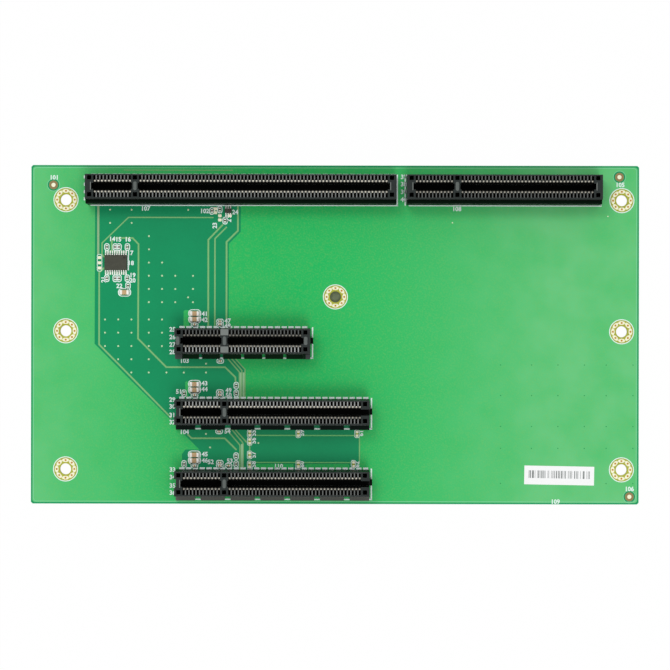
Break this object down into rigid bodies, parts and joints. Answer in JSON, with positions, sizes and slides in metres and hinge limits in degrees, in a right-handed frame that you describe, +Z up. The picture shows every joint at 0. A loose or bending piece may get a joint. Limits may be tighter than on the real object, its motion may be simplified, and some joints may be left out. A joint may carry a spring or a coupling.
{
  "type": "riser card backplane",
  "caption": "Flat green circuit board that carries keyed edge-card slots of several lengths, with screw holes near its edges, a clock chip and small soldered parts.",
  "frame": {"origin": "centre of the board's underside, on the surface that it lies on", "axes": "+X along the slots, from their keyed short end; +Y towards the edge with the long slot; +Z up out of the card slots"},
  "size_m": [0.175, 0.0974, 0.0128],
  "materials": {
    "solder_mask": "green solder mask over glass-fibre board",
    "slot_plastic": "moulded black, satin",
    "contact_metal": "plated spring strip",
    "chip_plastic": "moulded, fine matt",
    "tinned_metal": "tinned",
    "capacitor_ceramic": "fired ceramic, satin",
    "label_paper": "coated paper"
  },
  "bodies": {
    "root": {"circuit_board": "solder_mask", "slot_housing_16_lane": "slot_plastic", "slot_housing_8_lane_upper": "slot_plastic", "slot_housing_4_lane": "slot_plastic", "slot_housing_8_lane_middle": "slot_plastic", "slot_housing_8_lane_lower": "slot_plastic", "slot_contacts_16_lane": "contact_metal", "slot_contacts_8_lane_upper": "contact_metal", "slot_contacts_4_lane": "contact_metal", "slot_contacts_8_lane_middle": "contact_metal", "slot_contacts_8_lane_lower": "contact_metal", "clock_chip_body": "chip_plastic", "clock_chip_leads": "tinned_metal", "logic_chip_body": "chip_plastic", "logic_chip_leads": "tinned_metal", "bulk_capacitor_bodies": "capacitor_ceramic", "bulk_capacitor_terminals": "tinned_metal", "small_capacitors": "capacitor_ceramic", "chip_resistors": "chip_plastic", "paper_label": "label_paper"}
  },
  "joints": []
}
